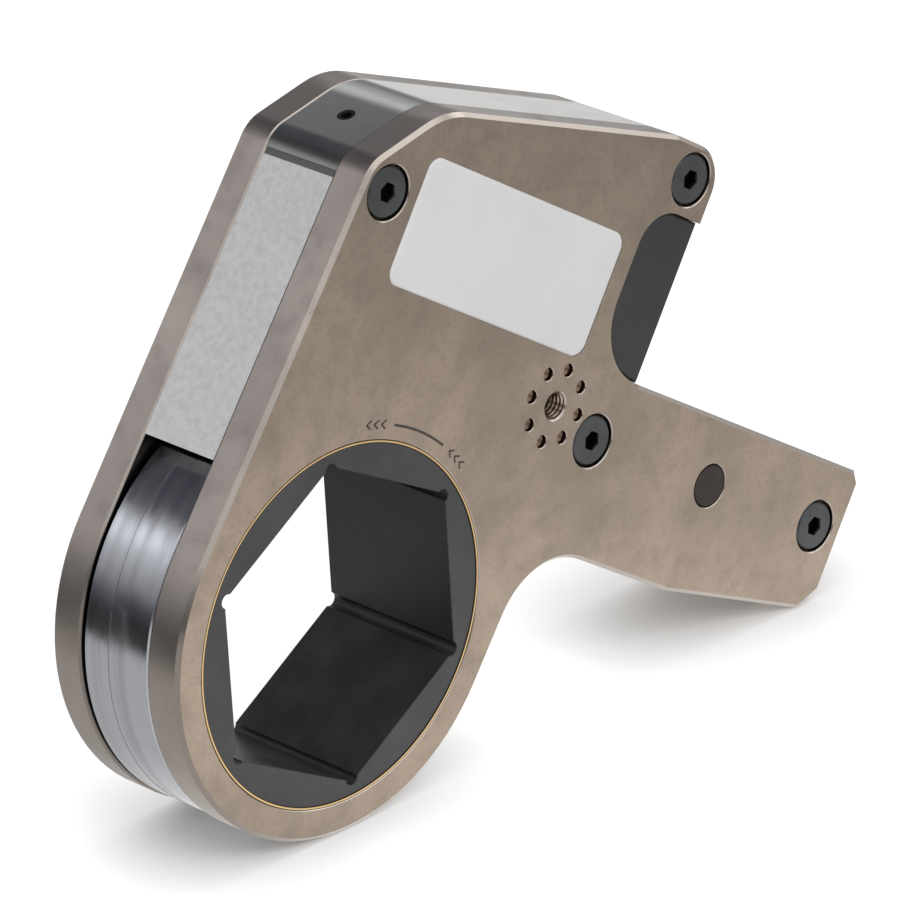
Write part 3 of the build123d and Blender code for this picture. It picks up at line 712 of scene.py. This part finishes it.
def brushed_skin(name, roughness, lean=0.0, haze_size=7.0, change=0.04, metallic=1.0):
    """Finish with its lines and its gloss, still without a colour, and its haze."""
    finish = Finish(name, metallic)
    lines = finish.noise(finish.turned((1.0, 1.0, 0.03), (0.0, lean, 0.0)), 0.4, 3.0, 0.65)
    haze = finish.noise(finish.turned(), haze_size, 5.0, 0.65)
    finish.gloss(finish.ranged(haze, 0.35, 0.7, roughness - 0.75 * change, roughness + 1.25 * change))
    finish.bump(lines, 0.006)
    return finish, haze


def brushed(name, colour, haze_tone, roughness, **skin):
    """Brushed finish whose colour changes to another with its haze."""
    finish, haze = brushed_skin(name, roughness, **skin)
    finish.colour(finish.mixed(finish.share(haze, 0.4, 0.7), colour, haze_tone))
    return finish


shroud_finish = brushed("shroud_aluminium", (0.83, 0.82, 0.795), (0.72, 0.712, 0.69), 0.36,
                        lean=-26.7, haze_size=2.2, change=0.012)
shroud_finish.bump(shroud_finish.noise(shroud_finish.turned(), 0.5, 2.0, 0.6), 0.008)
dress(shroud_finish, "front_shroud")

bridge_finish, _ = brushed_skin("bridge_steel", 0.22, lean=60.0, haze_size=9.0, change=0.012)
# Painted shade: the bridge is darker where it faces down the arm's slope and where it faces the facet.
slope_painted_shade = bridge_finish.share(bridge_finish.facing(-along_arm), 0.86, 0.99)
facet_painted_shade = bridge_finish.share(bridge_finish.facing(facet_out), 0.9, 0.99)
bridge_tone = bridge_finish.mixed(slope_painted_shade, bridge_steel, (0.26, 0.265, 0.25))
bridge_finish.colour(bridge_finish.mixed(facet_painted_shade, bridge_tone, (0.47, 0.48, 0.46)))
dress(bridge_finish, "top_bridge")

dress(brushed("spacer_steel", (0.33, 0.29, 0.245), (0.27, 0.24, 0.205), 0.36, lean=-60.0), "arm_spacer")
dress(brushed("bush_bronze", (0.55, 0.38, 0.19), (0.46, 0.31, 0.15), 0.3), "rod_guide_bush")
# The thrust washers are painted nearly black: painted shade between the wheel and the plates.
dress(brushed("washer_bronze", (0.10, 0.075, 0.05), (0.08, 0.06, 0.04), 0.4),
      "front_thrust_washer", "rear_thrust_washer")

# %% [markdown]
# ### Bushes, wire, dowel and seal
#
# Each bush shows only as a thin bronze line between wheel and plate. Its two edges are painted black as
# painted shade in the gaps beside it, so bronze is left only close to its middle radius. The springs and
# the clips are drawn wire. The dowel in the arm is brown, with a painted black shadow in the gap where it
# meets the plate. The strip above the shroud is dark grey rubber with a sheen.

# %% Bushes, wire, dowel and seal
bush_middle_radius = 55.72
# Painted shade in the gaps beside the bush starts and is full at these distances from its middle radius.
shade_start, shade_full = 0.16, 0.3  # distances from that radius
dowel_place = (136.7, 76.1)    # p and q of the arm's dowel
# Beyond this radius the dowel is painted black: painted shadow in the gap round it.
dowel_rim_radius = 6.35

bush_finish, _ = brushed_skin("bronze_painted_gap_shade", 0.3)
off_middle = bush_finish.maths("SUBTRACT", bush_finish.from_axis(), bush_middle_radius * MM)
# Painted shade: the bush turns black away from its middle radius.
gap_painted_shade = bush_finish.share(bush_finish.maths("ABSOLUTE", off_middle), shade_start * MM, shade_full * MM)
bush_finish.colour(bush_finish.mixed(gap_painted_shade, (0.62, 0.43, 0.21), (0.05, 0.035, 0.022)))
dress(bush_finish, "front_bush", "rear_bush")

dress(brushed("spring_wire", (0.3, 0.3, 0.32), (0.25, 0.25, 0.27), 0.3), "shoe_springs", "pin_clips")

dowel_finish, _ = brushed_skin("dowel_brown_oxide", 0.45, lean=40.0, metallic=0.8)
dowel_finish.set("Specular IOR Level", 0.1)
# Painted shadow: a black ring in the gap where the dowel meets the plate.
gap_painted_shadow = dowel_finish.share(dowel_finish.from_axis(*dowel_place), dowel_rim_radius * MM,
                            (dowel_rim_radius + 0.2) * MM)
stains = dowel_finish.noise(dowel_finish.turned(), 3.0, 4.0, 0.6)
dowel_tone = dowel_finish.mixed(stains, (0.032, 0.024, 0.022), (0.066, 0.052, 0.047))
dowel_finish.colour(dowel_finish.mixed(gap_painted_shadow, dowel_tone, (0.004, 0.003, 0.003)))
dress(dowel_finish, "arm_dowel")

seal_finish = Finish("seal_rubber", metallic=0.5, colour=(0.16, 0.165, 0.15), roughness=0.45)
seal_finish.bump(seal_finish.noise(seal_finish.turned(), 0.8, 3.0, 0.6), 0.03)
dress(seal_finish, "shroud_seal")

# %% [markdown]
# ## Grids of points
#
# Every piece that this script adds is a grid of points, rows by columns, worked out as whole arrays. One
# helper turns such a grid into a mesh: it joins each point to its neighbours, the last column to the
# first, and closes the end rows where the piece needs it.

# %% Grid helper


def grid_mesh(name, points, caps=False):
    """Mesh over a grid of points: each row is a closed ring, and caps fill the first and the last one."""
    rows, columns = points.shape[:2]
    index = np.arange(rows * columns).reshape(rows, columns)
    across = np.roll(index, -1, axis=1)
    quads = np.stack([index[:-1], across[:-1], across[1:], index[1:]], axis=-1).reshape(-1, 4)
    faces = quads.tolist()
    if caps:
        faces += [index[0][::-1].tolist(), index[-1].tolist()]
    mesh = bpy.data.meshes.new(name)
    mesh.from_pydata(points.reshape(-1, 3).tolist(), [], faces)
    mesh.update()
    piece = bpy.data.objects.new(name, mesh)
    bpy.context.scene.collection.objects.link(piece)
    print(name, len(mesh.polygons), "faces")
    return piece


def smooth(piece):
    """Shades every face of a piece smooth."""
    piece.data.polygons.foreach_set("use_smooth", [True] * len(piece.data.polygons))


# %% [markdown]
# ## Name plate
#
# A blank plate of thin foil lies in a shallow recess of the front plate. Its surface is a rounded
# rectangle carried over a profile: each point of the rim runs from the back face, up the wall, over a
# rounded edge and in towards the centre, so one grid of profile steps by rim points makes the whole
# shape.

# %% Name plate
label_centre = (11.0, 116.95)
label_size = (93.0, 39.1)
label_corner = 4.6
label_back = plate_face - 0.3
label_front = plate_face + 0.15
label_edge = 0.45              # width and height of its rounded edge
edge_bulge = 0.3               # share of it that its middle lies in from the wall and below the front
flat_border = 1.2              # flat ring beside the edge, which keeps the front's shading flat


def rounded_rectangle(width, height, radius, steps=12):
    """Points round a rounded rectangle, anticlockwise: four quarter circles about the corners' centres."""
    turn = np.linspace(0.0, math.pi / 2, steps)
    corners = [(1, 1), (-1, 1), (-1, -1), (1, -1)]
    x, y = [], []
    for k, (side, top) in enumerate(corners):
        x.append(side * (width / 2 - radius) + radius * np.cos(turn + k * math.pi / 2))
        y.append(top * (height / 2 - radius) + radius * np.sin(turn + k * math.pi / 2))
    return np.concatenate(x), np.concatenate(y)


rim_x, rim_y = rounded_rectangle(*label_size, label_corner)
profile_in = np.array([0.0, 0.0, edge_bulge * label_edge, label_edge, label_edge + flat_border])
profile_up = np.array([label_back, label_front - label_edge, label_front - edge_bulge * label_edge,
                       label_front, label_front])
shrink_x = 1.0 - profile_in[:, None] / (label_size[0] / 2)
shrink_y = 1.0 - profile_in[:, None] / (label_size[1] / 2)
label_points = tool_point(label_centre[0] + shrink_x * rim_x, label_centre[1] + shrink_y * rim_y,
                          profile_up[:, None])
name_plate = grid_mesh("blank_name_plate", label_points, caps=True)
smooth(name_plate)
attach(name_plate, "housing")

label_finish = Finish("label_white_foil", metallic=0.0, roughness=0.35)
label_finish.set("Coat Weight", 0.3)
label_finish.set("Coat Roughness", 0.25)
label_haze = label_finish.share(label_finish.noise(label_finish.turned(), 16.0, 4.0, 0.6), 0.4, 0.75)
label_finish.colour(label_finish.mixed(label_haze, (0.88, 0.88, 0.89), (0.83, 0.83, 0.845)))
name_plate.data.materials.append(label_finish.material)

# %% [markdown]
# ## Direction marks
#
# Chevrons beside the bore show the way in which the wheel turns: two groups with a curved bar between
# them. They are burnt into the plating by a laser, dark and no thicker than paint. Each stroke is a strip
# along an arc about the hexagon's axis: its radius and its angle change in step from one end of the
# stroke to the other, and each of its two long sides lies half the stroke's width from that line.

# %% Direction marks
mark_radius = 60.8
mark_height = 2.6
chevron_stroke = 0.6
chevron_count = 3
chevron_tips = (110.6, 74.0)   # angle of the first tip of each group, in degrees from the arm
chevron_pitch = math.degrees(3.1 / mark_radius)
chevron_depth = math.degrees(1.9 / mark_radius)
bar_span = (99.6, 77.4)
bar_stroke = 0.8
mark_lift = 0.02
mark_root = 0.05


def arc_stroke(radii, angles, width):
    """Strip whose middle line runs through radii and angles about the axis, as wide as width all along."""
    radii, angles = np.asarray(radii, float), np.radians(np.asarray(angles, float))
    x, y = radii * np.cos(angles), radii * np.sin(angles)
    along = np.stack([np.gradient(x), np.gradient(y)], axis=-1)
    along /= np.linalg.norm(along, axis=-1, keepdims=True)
    side = 0.5 * width * np.stack([-along[:, 1], along[:, 0]], axis=-1)
    lower, upper = plate_face - mark_root, plate_face + mark_lift
    ring = [(x + side[:, 0], y + side[:, 1], lower), (x + side[:, 0], y + side[:, 1], upper),
            (x - side[:, 0], y - side[:, 1], upper), (x - side[:, 0], y - side[:, 1], lower)]
    return np.stack([tool_point(*part) for part in ring], axis=1)


def chevron_strokes(tip_angle):
    """The two legs of a chevron that points anticlockwise, from its tip outwards and inwards."""
    steps = np.linspace(0.0, 1.0, 4)
    for side in (0.5, -0.5):
        yield mark_radius + side * mark_height * steps, tip_angle - chevron_depth * steps


strokes = []
for first_tip in chevron_tips:
    for k in range(chevron_count):
        tip = first_tip - k * chevron_pitch
        strokes += [arc_stroke(*leg, chevron_stroke) for leg in chevron_strokes(tip)]
bar_angles = np.linspace(*bar_span, 40)
strokes.append(arc_stroke(np.full(len(bar_angles), mark_radius), bar_angles, bar_stroke))
marks = [grid_mesh(f"mark_{k}", stroke, caps=True) for k, stroke in enumerate(strokes)]
joining = {"active_object": marks[0], "selected_editable_objects": marks, "selected_objects": marks}
with bpy.context.temp_override(**joining):
    bpy.ops.object.join()
direction_marks = marks[0]
direction_marks.name = "direction_marks"
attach(direction_marks, "housing")

mark_finish = Finish("laser_mark", metallic=0.0, roughness=0.6)
mark_tone = mark_finish.share(mark_finish.noise(mark_finish.turned(), 1.5, 3.0, 0.6), 0.4, 0.7)
mark_finish.colour(mark_finish.mixed(mark_tone, (0.03, 0.024, 0.02), (0.075, 0.06, 0.05)))
direction_marks.data.materials.append(mark_finish.material)

# %% [markdown]
# ## Threads of the handle holes
#
# A positioning handle screws into the middle hole of the ring. The solid has a plain hole of the tapping
# size, and the turns are added as a thin sleeve in it. The sleeve's inner wall is a function of angle and
# depth: its radius rises and falls as a triangle wave that moves on by one pitch of depth for each whole
# turn, which makes a helix. The wave is clipped, so that crests and roots are a little flat, and it fades
# in from the hole's mouth.

# %% Threads
thread_outer = 4.24            # radius of the sleeve's outside, just within the hole
thread_inner = 3.78
thread_wall = 0.02             # least thickness of the sleeve
thread_pitch = 1.5
thread_top, thread_bottom = plate_face - 0.45, plate_face - 10.4
thread_fade = 0.6
wave_gain, wave_drop = 1.3, 0.1
thread_steps = (82, 48)        # points along the depth and round the axis


def thread_sleeve(name, side):
    """Sleeve: inside radius = outer - wall - cut, where cut is a triangle wave of height / pitch - turn."""
    turns = np.linspace(0.0, 2.0 * math.pi, thread_steps[1], endpoint=False)
    heights = np.linspace(thread_top, thread_bottom, thread_steps[0])
    phase = heights[:, None] / thread_pitch - side * turns[None, :] / (2.0 * math.pi)
    wave = 1.0 - np.abs(2.0 * (phase - np.floor(phase)) - 1.0)
    fade = np.clip((thread_top - heights[:, None]) / thread_fade, 0.0, 1.0)
    cut = (thread_outer - thread_inner) * fade * np.clip(wave_gain * wave - wave_drop, 0.0, 1.0)
    inside = thread_outer - thread_wall - cut
    outside = np.full((2, len(turns)), thread_outer)
    radius = np.concatenate([inside, outside], axis=0)
    level = np.concatenate([heights, [thread_bottom, thread_top]])
    points = tool_point(handle_place[0] + radius * np.cos(turns), handle_place[1] + radius * np.sin(turns),
                        side * level[:, None])
    points = np.concatenate([points, points[:1]], axis=0)
    if side < 0:
        points = points[:, ::-1]
    sleeve = grid_mesh(name, points)
    smooth(sleeve)
    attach(sleeve, "housing")
    return sleeve


thread_finish = Finish("thread_cut_steel", metallic=1.0, colour=(0.36, 0.29, 0.235))
tool_marks = thread_finish.noise(thread_finish.turned(), 0.8, 3.0, 0.6)
thread_finish.gloss(thread_finish.ranged(tool_marks, 0.3, 0.7, 0.14, 0.32))
for name, side in (("front_thread", 1), ("rear_thread", -1)):
    thread_sleeve(name, side).data.materials.append(thread_finish.material)

# %% [markdown]
# ## Sizes of the dressed tool
#
# The dressed tool's box is measured, and how far it reaches beyond the solids' box is printed: the
# pieces added here are thin.

# %% Sizes
visual_box = [[float(x) for x in corner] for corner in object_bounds()]
growth = [[round((v - c) / MM, 2) for v, c in zip(vs, cs)] for vs, cs in zip(visual_box, cad_box)]
print("grown by mm:", growth)
